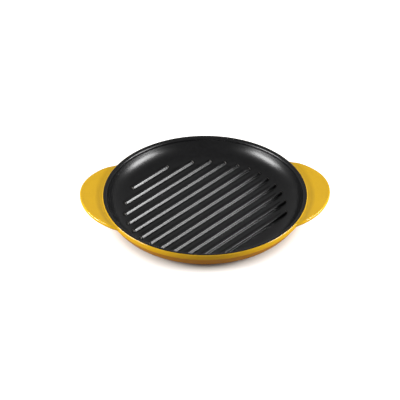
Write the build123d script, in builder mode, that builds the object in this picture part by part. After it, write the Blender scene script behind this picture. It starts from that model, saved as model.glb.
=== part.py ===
"""Round grill pan of enamelled cast iron with two ear handles, in millimetres.

One iron casting carries everything: the ribbed floor, the wall, the rim band, both handles and the foot ring.
Fired coats of enamel cover it, black inside and over the rim, yellow outside, and only the foot ring is bare.
+Z is up, the handles lie along X, and the origin is the centre of the foot ring on the table.
The sizes are those of the finished pan, over the enamel, and the iron lies one coat deeper everywhere.
"""

import os
from math import cos, radians, sqrt, tan

from build123d import *

# Coats of enamel
coat = 0.4  # thickness of each fired coat
yellow_lip = 0.7  # width of the yellow on top of the rim, outside the black

# Rim band, the thick edge that runs round the pan
rim_radius = 127.0
rim_width = 5.7
rim_rounding = 1.5  # outer top edge of the rim
lip_rounding = 3.0  # inner top edge of the rim
lip_depth = 4.0  # upright inner face of the rim, with its rounding
lip_hollow = 3.0  # hollow where the upright face meets the wall
band_height = 7.3  # height of the band's outer face
band_rounding = 0.7  # lower edge of the band
band_hollow = 1.1  # hollow where the band meets the wall

# Wall and floor
wall_slope = 25.0  # degrees from upright, at the top of the wall
wall_thickness = 4.7
inner_cove = 28.0  # nearly all of the wall inside is this one curve
outer_cove = 24.0
floor_depth = 23.2  # rim top to the floor between the ribs
floor_thickness = 4.7

# Foot ring under the floor
foot_height = 1.1
foot_width = 4.0
foot_inset = 0.9  # from the end of the outer cove to the ring
foot_rounding = 0.6

# Grill ribs
rib_pitch = 16.0
rib_angle = 45.0  # degrees from the line of the handles
rib_height = 3.0
rib_top_width = 3.2
rib_draft = 28.0  # degrees
rib_edge_rounding = 1.3
rib_root = 1.0  # hollow where a rib meets the floor
rib_reach = 7.0  # from the edge of the flat floor to the rib ends, up the cove
shortest_rib = 35.0

# Ear handles, each a segment of a circle, dished and rising outwards
handle_drop = 1.0  # from the rim top to the groove beside it
groove_width = 3.0
groove_rounding = 8.0
crest_width = 5.5  # from the groove to the soft crest
crest_rise = 1.6
crest_rounding = 12.0
dish_width = 12.5  # from the crest to the middle of the dish
dish_rise = 1.3
dish_rounding = 40.0
tip_width = 7.0  # from the middle of the dish to the tip
tip_rise = 2.6
handle_thickness = 4.8
handle_edge_rounding = 2.0
handle_ear_radius = 72.0
handle_blend = 14.0  # hollow corner between the ear and the rim
blend_depth = 1.0  # how far inside the rim's outer face the hollow corners end

overrun = 5.0  # how far a cut runs past the surface that it cuts

# The most that a rounding may take of what it rounds
step_share = 0.37
hollow_share = 0.58
edge_share = 0.44

# Sizes that follow
inner_rim_radius = rim_radius - rim_width
colour_line_radius = rim_radius - yellow_lip
floor_height = foot_height + floor_thickness
floor_middle = foot_height + floor_thickness / 2
rim_height = floor_height + floor_depth
base_depth = rim_height - foot_height
cove_share = tan(radians(90 - wall_slope) / 2)  # run of a cove on the flat, as a share of its radius
tip_radius = rim_radius + groove_width + crest_width + dish_width + tip_width
ear_centre = tip_radius - handle_ear_radius


def wall_radius(depth, into_wall=0):
    """Radius of the sloping wall at a depth under the rim top, some way into its thickness."""
    slope = radians(wall_slope)
    return inner_rim_radius - (depth - lip_depth) * tan(slope) + into_wall / cos(slope)


def limited_cove(radius, wall_height):
    """A cove's radius, which a low wall limits."""
    return min(radius, wall_height / (cove_share * cos(radians(wall_slope))))


wall_step = rim_radius - wall_radius(band_height, wall_thickness)
floor_cove = limited_cove(inner_cove, floor_depth - lip_depth - lip_hollow)
base_cove = limited_cove(outer_cove, base_depth - band_height - band_hollow)
floor_radius = wall_radius(floor_depth) - floor_cove * cove_share
base_radius = wall_radius(base_depth, wall_thickness) - base_cove * cove_share
foot_radius = base_radius - foot_inset
foot_middle = foot_radius - foot_width / 2
rib_circle = floor_radius + rib_reach


def soften(section, radius, across, up):
    """Round the corner of a section that lies this far across and up."""
    corner = section.vertices().sort_by_distance((across, up, 0))[0]
    fillet(corner, radius=radius)


def dish_section(growth):
    """Half section of the dish without its ribs, grown by a coat or shrunk by one."""
    band_foot = rim_height - band_height
    wall_top = wall_radius(band_height, wall_thickness)
    wall_foot = wall_radius(base_depth, wall_thickness)
    floor_corner = wall_radius(floor_depth)
    foot_inner = foot_radius - foot_width
    with BuildSketch(Plane.XZ) as section:
        with BuildLine():
            Polyline(
                (-overrun, floor_height),
                (floor_corner, floor_height),
                (inner_rim_radius, rim_height - lip_depth),
                (inner_rim_radius, rim_height),
                (rim_radius, rim_height),
                (rim_radius, band_foot),
                (wall_top, band_foot),
                (wall_foot, foot_height),
                (foot_radius, foot_height),
                (foot_radius, -coat),
                (foot_inner, -coat),
                (foot_inner, foot_height),
                (-overrun, foot_height),
                close=True,
            )
        make_face()
        soften(section, floor_cove, floor_corner, floor_height)
        soften(section, lip_hollow, inner_rim_radius, rim_height - lip_depth)
        soften(section, lip_rounding, inner_rim_radius, rim_height)
        soften(section, rim_rounding, rim_radius, rim_height)
        soften(section, min(band_rounding, wall_step * step_share), rim_radius, band_foot)
        soften(section, min(band_hollow, wall_step * hollow_share), wall_top, band_foot)
        soften(section, base_cove, wall_foot, foot_height)
        soften(section, foot_rounding, foot_radius, foot_height)
        soften(section, foot_rounding, foot_inner, foot_height)
        if growth:
            offset(amount=growth)
        with Locations((tip_radius / 2, 0)):
            Rectangle(tip_radius, 2 * tip_radius, mode=Mode.INTERSECT)
    return section.sketch


def handle_outline(growth):
    """Outline of one ear from above: the ear's arc and a hollow corner at each end of it."""
    ear = handle_ear_radius + growth
    blend = handle_blend - growth
    rim = rim_radius - blend_depth + growth
    to_rim = rim + blend
    to_ear = ear + blend
    blend_x = (to_rim**2 - to_ear**2 + ear_centre**2) / (2 * ear_centre)
    blend_y = sqrt(to_rim**2 - blend_x**2)
    touch_x = ear_centre + (blend_x - ear_centre) * ear / to_ear
    touch_y = blend_y * ear / to_ear
    root_x = blend_x * rim / to_rim
    root_y = blend_y * rim / to_rim
    away = (blend_y, ear_centre - blend_x)
    with BuildSketch() as outline:
        with BuildLine():
            ThreePointArc((touch_x, touch_y), (ear_centre + ear, 0), (touch_x, -touch_y))
            TangentArc((touch_x, touch_y), (root_x, root_y), tangent=(-away[0], -away[1]))
            TangentArc((touch_x, -touch_y), (root_x, -root_y), tangent=(-away[0], away[1]))
            Line((root_x, root_y), (root_x, -root_y))
        make_face()
        Circle(inner_rim_radius + lip_rounding, mode=Mode.SUBTRACT)
    return outline.sketch


def handle_section(growth):
    """Section of a handle through the pan's axis: groove, soft crest, dish and raised tip."""
    tip_slope = tip_rise / tip_width
    start = (inner_rim_radius, rim_height - handle_drop)
    groove = (rim_radius + groove_width, start[1])
    crest = (groove[0] + crest_width, groove[1] + crest_rise)
    dish = (crest[0] + dish_width, crest[1] + dish_rise)
    tip = (tip_radius + overrun, dish[1] + (tip_width + overrun) * tip_slope)
    underside = [(across, up - handle_thickness) for across, up in (tip, dish, groove, start)]
    with BuildSketch(Plane.XZ) as section:
        with BuildLine():
            Polyline(start, groove, crest, dish, tip, *underside, close=True)
        make_face()
        soften(section, groove_rounding, *groove)
        soften(section, crest_rounding, *crest)
        for knee in (dish, *underside[1:-1]):
            soften(section, dish_rounding, *knee)
        if growth:
            offset(amount=growth)
    return section.sketch


def handle(growth):
    """One ear handle on +X. Its whole edge is rounded, but not the root inside the rim."""
    with BuildPart() as ear:
        add(handle_section(growth))
        revolve(axis=Axis.Z)
        with BuildSketch() as plan:
            add(handle_outline(growth))
        extrude(amount=2 * rim_height, mode=Mode.INTERSECT)
        walls = ear.faces().filter_by(GeomType.CYLINDER).sort_by(lambda face: face.radius)
        edges = ShapeList(edge for wall in walls[:-1] for edge in wall.edges())
        rounding = min(handle_edge_rounding, handle_thickness * edge_share)
        fillet(edges - edges.filter_by(Axis.Z), radius=rounding + growth)
    return ear.part


def rib_bars(growth):
    """All the grill ribs, rooted halfway down the floor. The front side has one rib fewer."""
    depth = floor_height + rib_height - floor_middle
    spread = growth + depth * tan(radians(rib_draft))
    side_count = int(sqrt(rib_circle**2 - (shortest_rib / 2) ** 2) / rib_pitch)
    with BuildPart() as bars:
        with BuildSketch(Plane.XY.offset(floor_middle + growth)):
            for step in range(1 - side_count, side_count + 1):
                across = step * rib_pitch
                length = 2 * sqrt(rib_circle**2 - across**2)
                with Locations(Vector(0, across).rotate(Axis.Z, rib_angle)):
                    SlotOverall(length + 2 * spread, rib_top_width + 2 * spread, rotation=rib_angle)
        extrude(amount=depth, taper=rib_draft)
        fillet(bars.faces().group_by(Axis.Z)[-1].edges(), radius=rib_edge_rounding + growth)
    return bars.part


def pan_form(growth):
    """The whole pan as one solid: over the enamel at no growth, the bare iron at minus one coat."""
    ear = handle(growth)
    bars = rib_bars(growth)
    with BuildPart() as form:
        add(dish_section(growth))
        revolve(axis=Axis.Z)
        add(bars)
        fillet(form.edges(Select.NEW), radius=rib_root - growth)
        with PolarLocations(radius=0, count=2):
            add(ear)
    return form.part


def inside_region():
    """Everything inside the middle of the wall and the floor, and inside the colour line on the rim."""
    middle = wall_thickness / 2
    rim_middle = rim_height - band_height / 2
    corner = wall_radius(rim_height - floor_middle, middle)
    with BuildPart() as region:
        with BuildSketch(Plane.XZ) as section:
            with BuildLine():
                Polyline(
                    (0, floor_middle),
                    (corner, floor_middle),
                    (wall_radius(rim_height - rim_middle, middle), rim_middle),
                    (colour_line_radius, rim_middle),
                    (colour_line_radius, rim_height + overrun),
                    (0, rim_height + overrun),
                    close=True,
                )
            make_face()
            soften(section, (floor_cove + base_cove) / 2, corner, floor_middle)
        revolve(axis=Axis.Z)
    return region.part


iron = pan_form(-coat)
inside = inside_region()

with BuildPart() as finished:
    add(pan_form(0))
    split(bisect_by=Plane.XY, keep=Keep.TOP)

with BuildPart() as base_region:
    with BuildSketch():
        Circle(foot_middle)
    extrude(amount=floor_middle)

with BuildPart() as cast_iron_body:
    add(iron)

with BuildPart() as black_enamel_inside:
    add(finished.part)
    add(inside, mode=Mode.INTERSECT)
    add(iron, mode=Mode.SUBTRACT)

with BuildPart() as yellow_enamel_outside:
    add(finished.part)
    add(inside, mode=Mode.SUBTRACT)
    add(iron, mode=Mode.SUBTRACT)
    add(base_region.part, mode=Mode.SUBTRACT)

with BuildPart() as yellow_enamel_base:
    add(finished.part)
    add(base_region.part, mode=Mode.INTERSECT)
    add(iron, mode=Mode.SUBTRACT)

cast_iron_body.part.label = "cast_iron_body"
black_enamel_inside.part.label = "black_enamel_inside"
yellow_enamel_outside.part.label = "yellow_enamel_outside"
yellow_enamel_base.part.label = "yellow_enamel_base"

os.makedirs("parts", exist_ok=True)
export_step(cast_iron_body.part, "parts/cast_iron_body.step")
export_step(black_enamel_inside.part, "parts/black_enamel_inside.step")
export_step(yellow_enamel_outside.part, "parts/yellow_enamel_outside.step")
export_step(yellow_enamel_base.part, "parts/yellow_enamel_base.step")
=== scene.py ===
"""The looks of the round grill pan, in metres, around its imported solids."""

from math import asin, atan2, cos, hypot, pi, radians, sin, sqrt, tan

import bmesh
import bpy
from bmesh.types import BMEdge, BMVert
from mathutils import Matrix, Vector


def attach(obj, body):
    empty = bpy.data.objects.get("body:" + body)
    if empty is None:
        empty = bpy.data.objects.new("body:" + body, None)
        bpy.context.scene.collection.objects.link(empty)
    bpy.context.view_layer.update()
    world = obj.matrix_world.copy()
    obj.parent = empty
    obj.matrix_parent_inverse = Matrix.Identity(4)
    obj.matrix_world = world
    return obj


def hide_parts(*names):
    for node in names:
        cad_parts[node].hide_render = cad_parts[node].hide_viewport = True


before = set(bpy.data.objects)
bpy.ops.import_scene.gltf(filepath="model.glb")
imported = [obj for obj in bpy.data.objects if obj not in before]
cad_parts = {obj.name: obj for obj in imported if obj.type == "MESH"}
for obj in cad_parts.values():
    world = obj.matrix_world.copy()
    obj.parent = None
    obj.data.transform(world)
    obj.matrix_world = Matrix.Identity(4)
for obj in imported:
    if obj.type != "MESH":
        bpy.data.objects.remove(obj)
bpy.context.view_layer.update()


# The casting
# One sand casting of iron carries the whole pan: floor, ribs, wall, rim, ears and foot ring.
# Enamel covers all of it but the underside of the foot ring, which is ground flat and left bare.

dark_iron = (0.10, 0.095, 0.09, 1)
pale_iron = (0.22, 0.21, 0.20, 1)
iron_metallic = 0.7
iron_roughness = (0.35, 0.6)

# Each grain is a size in metres and a number of finer layers
iron_mottle = (0.0012, 4)
iron_scuffs = (0.0006, 3)
iron_pits = (0.0004, 2)
iron_pit_depth = 0.00004

# Most of a grain's values lie between these two
grain_low = 0.3
grain_high = 0.7


def add(tree, kind, **options):
    """Adds a node to a tree, with its options set."""
    node = tree.nodes.new(kind)
    for option, value in options.items():
        setattr(node, option, value)
    return node


def new_material(name):
    """A material, with its node tree and its shader."""
    material = bpy.data.materials.new(name)
    material.use_nodes = True
    tree = material.node_tree
    return material, tree, tree.nodes["Principled BSDF"]


def grain_group():
    """Fine noise on object coordinates: a value about 0.5, for tone, roughness and bumps alike."""
    group = bpy.data.node_groups.new("grain", "ShaderNodeTree")
    for name, way in (("Size", "INPUT"), ("Detail", "INPUT"), ("Value", "OUTPUT")):
        group.interface.new_socket(name, in_out=way, socket_type="NodeSocketFloat")
    start = add(group, "NodeGroupInput")
    end = add(group, "NodeGroupOutput")
    place = add(group, "ShaderNodeTexCoord")
    noise = add(group, "ShaderNodeTexNoise")
    # The noise takes the number of its features to the metre, which is one over their size
    scale = add(group, "ShaderNodeMath", operation="DIVIDE")
    scale.inputs[0].default_value = 1
    group.links.new(start.outputs["Size"], scale.inputs[1])
    group.links.new(place.outputs["Object"], noise.inputs["Vector"])
    group.links.new(scale.outputs["Value"], noise.inputs["Scale"])
    group.links.new(start.outputs["Detail"], noise.inputs["Detail"])
    group.links.new(noise.outputs["Fac"], end.inputs["Value"])
    return group


grain = grain_group()


def add_grain(tree, size, detail):
    """One use of the grain, at its own size and number of layers."""
    node = add(tree, "ShaderNodeGroup", node_tree=grain)
    node.inputs["Size"].default_value = size
    node.inputs["Detail"].default_value = detail
    return node.outputs["Value"]


def add_range(tree, value, low, high, from_low=grain_low, from_high=grain_high):
    """Lays a value out between two limits. A grain's own range is taken unless another is given."""
    node = add(tree, "ShaderNodeMapRange")
    node.inputs["From Min"].default_value = from_low
    node.inputs["From Max"].default_value = from_high
    node.inputs["To Min"].default_value = low
    node.inputs["To Max"].default_value = high
    tree.links.new(value, node.inputs["Value"])
    return node.outputs["Result"]


def add_bump(tree, height, depth):
    """Bumps of a real depth, in metres."""
    node = add(tree, "ShaderNodeBump")
    node.inputs["Distance"].default_value = depth
    tree.links.new(height, node.inputs["Height"])
    return node.outputs["Normal"]


def mix_colours(tree, share, first, second):
    """The first colour where the share is 0, and the second where it is 1."""
    node = add(tree, "ShaderNodeMix", data_type="RGBA")
    node.inputs["A"].default_value = first
    node.inputs["B"].default_value = second
    tree.links.new(share, node.inputs["Factor"])
    return node.outputs["Result"]


def dress(tree, shader, colour, roughness, normal):
    """Gives a shader what changes over its surface."""
    tree.links.new(colour, shader.inputs["Base Color"])
    tree.links.new(roughness, shader.inputs["Roughness"])
    tree.links.new(normal, shader.inputs["Normal"])


def bare_iron():
    """Ground iron: mottled grey, scuffed and finely pitted."""
    material, tree, shader = new_material("bare_iron")
    shader.inputs["Metallic"].default_value = iron_metallic
    dress(
        tree, shader,
        colour=mix_colours(tree, add_grain(tree, *iron_mottle), dark_iron, pale_iron),
        roughness=add_range(tree, add_grain(tree, *iron_scuffs), *iron_roughness),
        normal=add_bump(tree, add_grain(tree, *iron_pits), iron_pit_depth),
    )
    return material


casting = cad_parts["cast_iron_body"]
casting.data.materials.clear()
casting.data.materials.append(bare_iron())


# The black enamel inside
# A satin black coat fired over the dish, the wall and the top of the rim, up to the colour line.
# The ribs are cast with the floor: flat topped bars with drafted sides, softened by the coat.

coat = 0.0004

# From the colour line inwards: the rim's rounding and flat top, a short lip, the sloping wall and the floor
rim_radius = 0.127
rim_top = 0.029
rim_width = 0.0057
rim_rounding = 0.0015
lip_rounding = 0.003
lip_depth = 0.004
lip_hollow = 0.003
colour_line = 0.1263
wall_slope = radians(25)
floor_level = 0.0058
floor_cove = 0.028

# The ribs lie side by side at one pitch, and end on a circle that reaches a little up the floor's cove
rib_pitch = 0.016
rib_angle = radians(45)
rib_height = 0.003
rib_top_width = 0.0032
rib_draft = radians(28)
rib_rounding = 0.0013
rib_root = 0.001
rib_reach = 0.007
ribs_up_left = 6
ribs_down_right = 5

round_steps = 256
rim_arc_steps = 20
rib_arc_steps = 6
rib_end_steps = 16
merge_distance = 0.000001

deep_black = (0.005, 0.005, 0.0054, 1)
soft_black = (0.009, 0.009, 0.0096, 1)
satin_roughness = 0.27
polished_roughness = 0.15
black_clouds = (0.004, 3)
black_peel = (0.0006, 2)
black_peel_depth = 0.00001

# The polish lies within this distance of the axis, and comes in between these shares of a rib's height
polish_reach = 0.1
polish_start_share = 0.3
polish_full_share = 0.6

# The two colours meet on the rim's outer rounding, this far round it from the top
colour_turn = asin((colour_line - rim_radius + rim_rounding) / rim_rounding)
colour_height = rim_top - rim_rounding * (1 - cos(colour_turn))


def wall_inside(height):
    """Radius of the sloping inner wall at a height, before its roundings."""
    return rim_radius - rim_width - (rim_top - lip_depth - height) * tan(wall_slope)


def cove_reach(rounding):
    """How far a rounding between the sloping wall and the level runs along the level."""
    return rounding * tan((pi / 2 - wall_slope) / 2)


def pick(pieces, kinds):
    """Those of an operator's results that are of some kinds."""
    return [piece for piece in pieces if isinstance(piece, kinds)]


def extrude_to(bm, vert, place):
    """Draws one straight edge on from a vertex, and returns its far end."""
    end = bmesh.ops.extrude_vert_indiv(bm, verts=[vert])["verts"][0]
    end.co = place
    return end


def draw_section(bm, corners, arc_steps):
    """Draws a wire in the XZ plane through corners (radius, height, rounding), with arcs for roundings."""
    points = [Vector((radius, 0, height)) for radius, height, _ in corners]
    end = bm.verts.new(points[0])
    for index, (_, _, rounding) in enumerate(corners[1:], start=1):
        corner = points[index]
        if rounding:
            back = (points[index - 1] - corner).normalized()
            onward = (points[index + 1] - corner).normalized()
            turn = pi - back.angle(onward)
            centre = corner + (back + onward).normalized() * rounding / cos(turn / 2)
            end = extrude_to(bm, end, corner + back * rounding * tan(turn / 2))
            axis = onward.cross(back).normalized()
            arc = bmesh.ops.spin(bm, geom=[end], cent=centre, axis=axis, angle=turn, steps=arc_steps)
            end = pick(arc["geom_last"], BMVert)[0]
        else:
            end = extrude_to(bm, end, corner)


def turn_section(bm):
    """Turns all that is drawn through a full circle about the pan's axis."""
    bmesh.ops.spin(bm, geom=bm.verts[:] + bm.edges[:], axis=(0, 0, 1), cent=(0, 0, 0), angle=2 * pi,
                   steps=round_steps, use_merge=True)
    bmesh.ops.remove_doubles(bm, verts=bm.verts, dist=merge_distance)


def thicken(bm):
    """Gives the skin its coat, inwards from the surface that shows."""
    bmesh.ops.recalc_face_normals(bm, faces=bm.faces)
    bmesh.ops.solidify(bm, geom=bm.faces[:], thickness=coat)


def close_ends(bm):
    """Fills what is still open, such as a rib's underside or an ear's two ends."""
    bmesh.ops.contextual_create(bm, geom=[edge for edge in bm.edges if edge.is_boundary])


def join_into(bm, shape):
    """Adds a closed shape to a piece, with its faces outwards."""
    bmesh.ops.recalc_face_normals(shape, faces=shape.faces)
    spare = bpy.data.meshes.new("spare")
    shape.to_mesh(spare)
    shape.free()
    bm.from_mesh(spare)
    bpy.data.meshes.remove(spare)


def make_object(name, bm, material):
    """Puts a finished mesh into the scene, in one material."""
    mesh = bpy.data.meshes.new(name)
    bm.to_mesh(mesh)
    bm.free()
    mesh.materials.append(material)
    made = bpy.data.objects.new(name, mesh)
    bpy.context.scene.collection.objects.link(made)
    return made


def finish_piece(name, bm, material, slot, *nodes):
    """Makes a smooth piece of a closed mesh, and sets it in the place of its solid."""
    bmesh.ops.recalc_face_normals(bm, faces=bm.faces)
    piece = make_object(name, bm, material)
    piece.data.shade_smooth()
    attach(piece, "root")
    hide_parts(*nodes)


def add_math(tree, operation, first, second):
    """Works on a value with another value or a plain number. What comes out stays within 0 and 1."""
    node = add(tree, "ShaderNodeMath", operation=operation, use_clamp=True)
    tree.links.new(first, node.inputs[0])
    if isinstance(second, float):
        node.inputs[1].default_value = second
    else:
        tree.links.new(second, node.inputs[1])
    return node.outputs["Value"]


def add_fade(tree, value, start, full):
    """A soft step: 0 up to the start, and 1 from where it is full."""
    node = add(tree, "ShaderNodeMapRange", interpolation_type="SMOOTHSTEP")
    node.inputs["From Min"].default_value = start
    node.inputs["From Max"].default_value = full
    tree.links.new(value, node.inputs["Value"])
    return node.outputs["Result"]


def height_up(tree):
    """How high a point lies over the table."""
    place = add(tree, "ShaderNodeTexCoord")
    parts = add(tree, "ShaderNodeSeparateXYZ")
    tree.links.new(place.outputs["Object"], parts.inputs["Vector"])
    return parts.outputs["Z"]


def distance_out(tree):
    """How far a point lies from the pan's upright axis."""
    place = add(tree, "ShaderNodeTexCoord")
    flat = add(tree, "ShaderNodeVectorMath", operation="MULTIPLY")
    flat.inputs[1].default_value = (1, 1, 0)
    tree.links.new(place.outputs["Object"], flat.inputs[0])
    reach = add(tree, "ShaderNodeVectorMath", operation="LENGTH")
    tree.links.new(flat.outputs["Vector"], reach.inputs[0])
    return reach.outputs["Value"]


def rib_tops(tree):
    """A mask of the upper part of the ribs, which food and tools keep polished."""
    start = floor_level + polish_start_share * rib_height
    full = floor_level + polish_full_share * rib_height
    high = add_fade(tree, height_up(tree), start, full)
    within = add_math(tree, "LESS_THAN", distance_out(tree), polish_reach)
    return add_math(tree, "MULTIPLY", within, high)


def black_enamel():
    """Satin black with faint clouds and a fine orange peel, glossier on the tops of the ribs."""
    material, tree, shader = new_material("black_enamel")
    clouds = add_range(tree, add_grain(tree, *black_clouds), 0, 1)
    dress(
        tree, shader,
        colour=mix_colours(tree, clouds, deep_black, soft_black),
        roughness=add_range(tree, rib_tops(tree), satin_roughness, polished_roughness, 0, 1),
        normal=add_bump(tree, add_grain(tree, *black_peel), black_peel_depth),
    )
    return material


def add_rib(bm, across, length):
    """One rib: its half section is turned half a circle round each end and drawn straight between."""
    foot = rib_top_width / 2 + rib_height * tan(rib_draft)
    sunk = floor_level - coat / 2
    rib = bmesh.new()
    draw_section(rib, [
        (0, floor_level + rib_height, 0),
        (rib_top_width / 2, floor_level + rib_height, rib_rounding),
        (foot, floor_level, rib_root),
        (foot + 2 * rib_root, floor_level, 0),
        (foot + 2 * rib_root, sunk, 0),
    ], rib_arc_steps)
    half = length / 2 - foot
    section = rib.verts[:] + rib.edges[:]
    bmesh.ops.rotate(rib, verts=rib.verts[:], matrix=Matrix.Rotation(-pi / 2, 3, "Z"))
    bmesh.ops.translate(rib, verts=rib.verts[:], vec=(half, 0, 0))
    for end in (1, -1):
        turned = bmesh.ops.spin(rib, geom=section, axis=(0, 0, 1), cent=(end * half, 0, 0), angle=pi,
                                steps=rib_end_steps)
        run = bmesh.ops.extrude_edge_only(rib, edges=pick(turned["geom_last"], BMEdge))
        section = pick(run["geom"], (BMVert, BMEdge))
        bmesh.ops.translate(rib, verts=pick(section, BMVert), vec=(-2 * end * half, 0, 0))
    bmesh.ops.remove_doubles(rib, verts=rib.verts, dist=merge_distance)
    close_ends(rib)
    rib.transform(Matrix.Rotation(rib_angle, 4, "Z") @ Matrix.Translation((0, across, 0)))
    join_into(bm, rib)


def black_inside():
    """The coat from the colour line to the middle of the floor, with its ribs inside one circle."""
    floor_corner = wall_inside(floor_level)
    flat_floor = floor_corner - cove_reach(floor_cove)
    bm = bmesh.new()
    draw_section(bm, [
        (colour_line, colour_height, 0),
        (rim_radius - rim_rounding + rim_rounding * tan(colour_turn / 2), rim_top, rim_rounding),
        (rim_radius - rim_width, rim_top, lip_rounding),
        (rim_radius - rim_width, rim_top - lip_depth, lip_hollow),
        (floor_corner, floor_level, floor_cove),
        (0, floor_level, 0),
    ], rim_arc_steps)
    turn_section(bm)
    thicken(bm)
    rib_circle = flat_floor + rib_reach
    for step in range(-ribs_down_right, ribs_up_left + 1):
        across = step * rib_pitch
        add_rib(bm, across, 2 * sqrt(rib_circle**2 - across**2))
    finish_piece("black_inside", bm, black_enamel(), "black_enamel", "black_enamel_inside")


black_inside()


# The yellow enamel outside
# A gloss coat from the colour line over the rim band, both ears and the wall, down to the foot ring.
# Each ear is cast with the rim: a thin plate that dips beside the rim, then rises to a rounded edge.

# From the colour line down: the rim band, the wall set back under it, its cove, the base and the foot ring
band_height = 0.0073
band_rounding = 0.0007
band_hollow = 0.0011
wall_thickness = 0.0047
outer_cove = 0.024
base_level = 0.0011
foot_width = 0.004
foot_inset = 0.0009
foot_rounding = 0.0006

ear_radius = 0.072
ear_reach = 0.028
ear_thickness = 0.0048
ear_edge_rounding = 0.002
ear_blend = 0.014
ear_blend_depth = 0.001

# The ear's top, from the rim outwards: a groove, a soft crest, a shallow dish and the raised tip
ear_drop = 0.001
groove_width = 0.003
groove_softness = 0.0012
groove_fillet = 0.001
fillet_start_share = 0.5
fillet_depth_share = 0.8
crest_width = 0.0055
crest_rise = 0.0016
crest_softness = 0.0012
ear_dish_width = 0.0125
ear_dish_rise = 0.0013
ear_dish_softness = 0.005
tip_width = 0.007
tip_rise = 0.00225
under_softness = 0.0035

wall_arc_steps = 12
base_arc_steps = 8
ear_arc_steps = 7
ear_steps = 150
ear_top_cuts = 100
ear_under_cuts = 40

# Painted shade: the yellow deepens low down, on the lower band, the wall and the undersides of the ears,
# where they lie in shade
painted_shade_amber = (0.64, 0.255, 0.002, 1)
sun_yellow = (0.83, 0.48, 0.011, 1)
painted_shade_full_below = 0.016
painted_shade_ends_above = 0.0275
gloss_roughness = (0.10, 0.16)
yellow_clouds = (0.012, 3)
yellow_cloud_tones = (0.96, 1.0)
yellow_smears = (0.005, 2)
yellow_peel = (0.002, 1)
yellow_peel_depth = 0.000012

# Distance out from the rim, and how light the enamel is painted there: painted shade in the groove beside the
# rim, and on the band and wall, which take the first tone; painted light on the ears' raised tips
painted_shade_outwards = (
    (-0.0002, 0.87),
    (0.0015, 0.77),
    (0.0040, 0.78),
    (0.0080, 0.90),
    (0.0150, 0.91),
    (0.0250, 1.00),
)


def wall_outside(height):
    """Radius of the outer wall at a height, before its roundings."""
    return wall_inside(height) + wall_thickness / cos(wall_slope)


foot_radius = wall_outside(base_level) - cove_reach(outer_cove) - foot_inset
base_radius = foot_radius - foot_width

# An ear's edge is an arc about a centre on the X axis. A small arc, bent the other way, leads it into the rim
# band: its centre is at blend_x, blend_y, the arcs touch at touch_angle, and the ear ends at ear_half_angle.
ear_centre = rim_radius + ear_reach - ear_radius
blend_from_axis = rim_radius - ear_blend_depth + ear_blend
blend_from_ear = ear_radius + ear_blend
blend_x = (blend_from_axis**2 - blend_from_ear**2 + ear_centre**2) / (2 * ear_centre)
blend_y = sqrt(blend_from_axis**2 - blend_x**2)
ear_half_angle = atan2(blend_y, blend_x)
touch_angle = atan2(blend_y * ear_radius, blend_from_ear * ear_centre + (blend_x - ear_centre) * ear_radius)

crest_slope = crest_rise / crest_width
ear_dish_slope = ear_dish_rise / ear_dish_width
tip_slope = tip_rise / tip_width
under_slope = (crest_rise + ear_dish_rise) / (crest_width + ear_dish_width)
crest_start = groove_width
crest_end = crest_start + crest_width
tip_start = crest_end + ear_dish_width


def ear_outline(angle):
    """Distance from the pan's axis to the ear's edge, and how squarely that line meets the edge."""
    angle = abs(angle)
    ray = Vector((cos(angle), sin(angle)))
    if angle < touch_angle:
        middle = Vector((ear_centre, 0))
        reach = middle.dot(ray) + sqrt(ear_radius**2 - middle.cross(ray)**2)
        outward = ray * reach - middle
    else:
        middle = Vector((blend_x, blend_y))
        reach = middle.dot(ray) - sqrt(max(0, ear_blend**2 - middle.cross(ray)**2))
        outward = middle - ray * reach
    return reach, outward.normalized().dot(ray)


def bend(distance, slope, softness):
    """Height of a line that is flat up to a knee and slopes beyond it, with the knee softened."""
    if distance < -softness:
        return 0
    if distance > softness:
        return slope * distance
    return slope * (distance + softness)**2 / (4 * softness)


def top_lift(radius):
    """Height of an ear's top over its groove, with the fillet that leads from the groove up to the rim."""
    out = radius - rim_radius
    lift = bend(out - crest_start, crest_slope, groove_softness)
    lift += bend(out - crest_end, ear_dish_slope - crest_slope, crest_softness)
    lift += bend(out - tip_start, tip_slope - ear_dish_slope, ear_dish_softness)
    short = min(fillet_start_share * groove_fillet - out, fillet_depth_share * groove_fillet)
    if short > 0:
        lift += groove_fillet - sqrt(groove_fillet**2 - short**2)
    return lift


def under_lift(radius):
    """Height of an ear's underside over its root, which has no crest."""
    out = radius - rim_radius
    lift = bend(out - crest_start, under_slope, under_softness)
    return lift + bend(out - tip_start, tip_slope - under_slope, under_softness)


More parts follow.
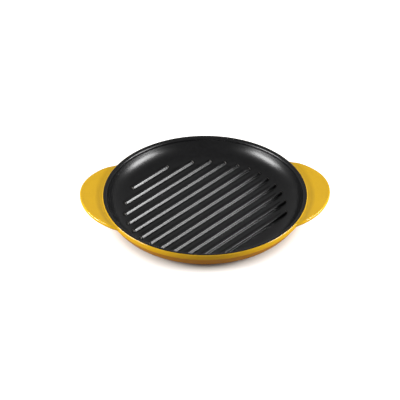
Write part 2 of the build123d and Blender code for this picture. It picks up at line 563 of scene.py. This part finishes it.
def add_ear(bm, turn):
    """One ear: a flat plate with a rounded edge, turned about the pan's axis, then trimmed and dished."""
    root = rim_radius - rim_width + lip_rounding
    tip = rim_radius + ear_reach
    edge_start = tip - ear_edge_rounding
    ear = bmesh.new()
    draw_section(ear, [
        (root, 0, 0),
        (tip, 0, ear_edge_rounding),
        (tip, -ear_thickness, ear_edge_rounding),
        (root, -ear_thickness, 0),
        (root, 0, 0),
    ], ear_arc_steps)
    long_edges = sorted(ear.edges, key=lambda edge: -edge.calc_length())[:2]
    top_edge = [edge for edge in long_edges if edge.verts[0].co.z > -ear_thickness / 2]
    under_edge = [edge for edge in long_edges if edge not in top_edge]
    bmesh.ops.subdivide_edges(ear, edges=top_edge, cuts=ear_top_cuts)
    bmesh.ops.subdivide_edges(ear, edges=under_edge, cuts=ear_under_cuts)
    bmesh.ops.remove_doubles(ear, verts=ear.verts, dist=merge_distance)
    bmesh.ops.rotate(ear, verts=ear.verts[:], matrix=Matrix.Rotation(-ear_half_angle, 3, "Z"))
    bmesh.ops.spin(ear, geom=ear.verts[:] + ear.edges[:], axis=(0, 0, 1), cent=(0, 0, 0),
                   angle=2 * ear_half_angle, steps=ear_steps)
    close_ends(ear)
    for vert in ear.verts:
        angle = atan2(vert.co.y, vert.co.x)
        radius = hypot(vert.co.x, vert.co.y)
        reach, square = ear_outline(angle)
        # The rounded edge keeps its shape and moves to the outline. The plate behind it is drawn in to fit.
        if radius > edge_start:
            radius = reach - (tip - radius) / square
        else:
            trimmed_start = reach - ear_edge_rounding / square
            radius = root + (radius - root) * (trimmed_start - root) / (edge_start - root)
        top_share = (vert.co.z + ear_thickness) / ear_thickness
        lift = top_share * top_lift(radius) + (1 - top_share) * under_lift(radius)
        vert.co = (radius * cos(angle), radius * sin(angle), rim_top - ear_drop + vert.co.z + lift)
    bmesh.ops.rotate(ear, verts=ear.verts[:], matrix=Matrix.Rotation(turn, 3, "Z"))
    join_into(bm, ear)


def yellow_enamel():
    """Gloss yellow with faint clouds, and painted shade: deeper in the groove beside the rim and on the band
    and wall, deepest low on the outside, and lighter on the ears' tips.
    """
    material, tree, shader = new_material("yellow_enamel")
    first = painted_shade_outwards[0][0]
    last = painted_shade_outwards[-1][0]
    ramp = add(tree, "ShaderNodeValToRGB")
    ramp.color_ramp.interpolation = "EASE"
    stops = ramp.color_ramp.elements
    stops.remove(stops[-1])
    for out, tone in painted_shade_outwards:
        stop = stops[0] if out == first else stops.new((out - first) / (last - first))
        stop.color = (tone, tone, tone, 1)
    # Painted shade and light by distance out from the rim: darker in the groove, lighter on the tips
    outwards = add_range(tree, distance_out(tree), 0, 1, rim_radius + first, rim_radius + last)
    tree.links.new(outwards, ramp.inputs["Fac"])
    clouds = add_range(tree, add_grain(tree, *yellow_clouds), *yellow_cloud_tones)
    # Painted shade by height: full low down, gone higher up
    height = add_fade(tree, height_up(tree), painted_shade_full_below, painted_shade_ends_above)
    shaded = add(tree, "ShaderNodeMix", data_type="RGBA", blend_type="MULTIPLY")
    shaded.inputs["Factor"].default_value = 1
    tree.links.new(mix_colours(tree, height, painted_shade_amber, sun_yellow), shaded.inputs["A"])
    tree.links.new(add_math(tree, "MULTIPLY", ramp.outputs["Color"], clouds), shaded.inputs["B"])
    dress(
        tree, shader,
        colour=shaded.outputs["Result"],
        roughness=add_range(tree, add_grain(tree, *yellow_smears), *gloss_roughness),
        normal=add_bump(tree, add_grain(tree, *yellow_peel), yellow_peel_depth),
    )
    return material


def yellow_outside(material):
    """The coat from the colour line down to the foot ring's edge, with both ears."""
    band_foot = rim_top - band_height
    bm = bmesh.new()
    draw_section(bm, [
        (colour_line, colour_height, 0),
        (rim_radius, rim_top - rim_rounding + rim_rounding * tan((pi / 2 - colour_turn) / 2), rim_rounding),
        (rim_radius, band_foot, band_rounding),
        (wall_outside(band_foot), band_foot, band_hollow),
        (wall_outside(base_level), base_level, outer_cove),
        (foot_radius, base_level, foot_rounding),
        (foot_radius, 0, 0),
    ], wall_arc_steps)
    turn_section(bm)
    thicken(bm)
    for turn in (0, pi):
        add_ear(bm, turn)
    finish_piece("yellow_outside", bm, material, "yellow_enamel", "yellow_enamel_outside")


def yellow_base(material):
    """The disc inside the foot ring, which the bare ring parts from the rest of the yellow."""
    bm = bmesh.new()
    draw_section(bm, [
        (0, base_level, 0),
        (base_radius, base_level, foot_rounding),
        (base_radius, 0, 0),
    ], base_arc_steps)
    turn_section(bm)
    thicken(bm)
    finish_piece("yellow_base", bm, material, "yellow_enamel", "yellow_enamel_base")


yellow = yellow_enamel()
yellow_outside(yellow)
yellow_base(yellow)


# The floor
# A plain table top that fills every view: it glows white away from the pan, and near it shows light and
# shadow, with painted shade where the glow fades in and a painted warm tint.
# It is clear from below, and glows in the closed space under the base, so that the underside can be seen.

table_radius = 30
table_edges = 96
table_roughness = 0.8
# Painted light: both colours are tinted warm for light bounced off the yellow pan. The first is what the
# table passes on in bounces and reflections, the second what the eye sees
painted_warm_bounce = (0.40, 0.34, 0.22, 1)
painted_warm_seen = (0.66, 0.63, 0.58, 1)

# Distances from the pan's axis between which the glow comes in, to the eye and in the pan's reflections.
# Nearer in, the table has no glow and stays darker: painted shade that sets how far the pan's shadow reaches
seen_glow = (0.104, 0.14)
mirrored_glow = (0.15, 0.4)
glow_under_base = 0.6


def kinds_of_sight(tree):
    """Masks of what the eye sees for itself, and of what it sees in a reflection or through glass."""
    path = add(tree, "ShaderNodeLightPath")
    mirrored = add_math(tree, "ADD", path.outputs["Is Glossy Ray"], path.outputs["Is Transmission Ray"])
    return path.outputs["Is Camera Ray"], mirrored


def white_floor():
    """The table top, which is one round face."""
    material, tree, shader = new_material("floor")
    shader.inputs["Roughness"].default_value = table_roughness
    shader.inputs["Specular IOR Level"].default_value = 0
    shader.inputs["Emission Color"].default_value = (1, 1, 1, 1)
    seen, mirrored = kinds_of_sight(tree)
    # The table's colour, with a painted warm tint for the pan's yellow bounce
    tree.links.new(mix_colours(tree, seen, painted_warm_bounce, painted_warm_seen), shader.inputs["Base Color"])
    reach = distance_out(tree)
    # Painted shade: no glow close to the pan, fading in further out
    near = add_math(tree, "MULTIPLY", seen, add_fade(tree, reach, *seen_glow))
    far = add_math(tree, "MULTIPLY", mirrored, add_fade(tree, reach, *mirrored_glow))
    under = add_math(tree, "LESS_THAN", reach, base_radius)
    hidden = add_math(tree, "MULTIPLY", under, glow_under_base)
    glow = add_math(tree, "MAXIMUM", add_math(tree, "ADD", near, far), hidden)
    tree.links.new(glow, shader.inputs["Emission Strength"])
    side = add(tree, "ShaderNodeNewGeometry")
    clear = add(tree, "ShaderNodeBsdfTransparent")
    both = add(tree, "ShaderNodeMixShader")
    tree.links.new(side.outputs["Backfacing"], both.inputs["Fac"])
    tree.links.new(shader.outputs["BSDF"], both.inputs[1])
    tree.links.new(clear.outputs["BSDF"], both.inputs[2])
    tree.links.new(both.outputs["Shader"], tree.nodes["Material Output"].inputs["Surface"])
    bm = bmesh.new()
    bmesh.ops.create_circle(bm, cap_ends=True, segments=table_edges, radius=table_radius)
    floor = make_object("floor", bm, material)


white_floor()


# The light
# Soft studio light: a dim room, a little lighter behind the pan, with a white horizon for the eye and for
# reflections, and one low softbox at each side, whose light runs along the ribs and the wall of the dish.

room_in_front = 0.14
room_behind = 0.3

# The room's light changes between these values of a direction's part to the back, and of its part upwards
front_to_back = (-0.2, 0.8)
horizon_fade = (0.01, 0.08)

# The softbox on the right: where it hangs, what it faces, its sizes and its power
lamp_place = Vector((0.72, -0.125, 0.315))
lamp_target = Vector((-0.05, 0.05, 0.02))
lamp_width = 0.46
lamp_depth = 0.24
lamp_power = 7.4


def room_light():
    """The room, which is white to the eye, and in reflections only low down."""
    world = bpy.data.worlds.new("room")
    bpy.context.scene.world = world
    world.use_nodes = True
    tree = world.node_tree
    walls = tree.nodes["Background"]
    walls.inputs["Color"].default_value = (1, 1, 1, 1)
    place = add(tree, "ShaderNodeTexCoord")
    parts = add(tree, "ShaderNodeSeparateXYZ")
    tree.links.new(place.outputs["Generated"], parts.inputs["Vector"])
    room = add_range(tree, parts.outputs["Y"], room_in_front, room_behind, *front_to_back)
    low = add_range(tree, parts.outputs["Z"], 1, 0, *horizon_fade)
    seen, mirrored = kinds_of_sight(tree)
    white = add_math(tree, "ADD", seen, add_math(tree, "MULTIPLY", mirrored, low))
    tree.links.new(add_math(tree, "MAXIMUM", white, room), walls.inputs["Strength"])


def standing(place, back):
    """The place and turn of a lamp or camera that looks away from the direction at its back."""
    return Matrix.Translation(place) @ back.to_track_quat("Z", "Y").to_matrix().to_4x4()


def softbox(name, side):
    """A soft rectangular lamp at the pan's right (1) or, mirrored, at its left (-1)."""
    lamp = bpy.data.lights.new(name, "AREA")
    lamp.shape = "RECTANGLE"
    lamp.size = lamp_width
    lamp.size_y = lamp_depth
    lamp.energy = lamp_power
    mirror = Vector((side, 1, 1))
    box = bpy.data.objects.new(name, lamp)
    box.matrix_world = standing(lamp_place * mirror, (lamp_place - lamp_target) * mirror)
    bpy.context.scene.collection.objects.link(box)


room_light()
softbox("left_side", -1)
softbox("right_side", 1)


# The camera
# It stands far off with a long lens, a little over a third of the way up to overhead.

height_angle = radians(36.065)
distance = 2.75
pan_turn = radians(1.85)
camera_roll = radians(-0.15)
aim = Vector((-0.00625, -0.0144, 0.029))
farthest_view = 100

# In millimetres, as cameras have them
film_width = 36
focal_length = 200.67


def place_camera():
    """The camera at the photograph's own angle, with the pan turned a little under it."""
    back = Vector((0, -cos(height_angle), sin(height_angle)))
    data = bpy.data.cameras.new("camera")
    data.sensor_width = film_width
    data.lens = focal_length
    data.clip_end = farthest_view
    camera = bpy.data.objects.new("camera", data)
    stand = standing(aim + back * distance, back)
    camera.matrix_world = Matrix.Rotation(-pan_turn, 4, "Z") @ stand @ Matrix.Rotation(camera_roll, 4, "Z")
    bpy.context.scene.collection.objects.link(camera)
    bpy.context.scene.camera = camera


place_camera()
bpy.context.scene.view_settings.view_transform = "Standard"
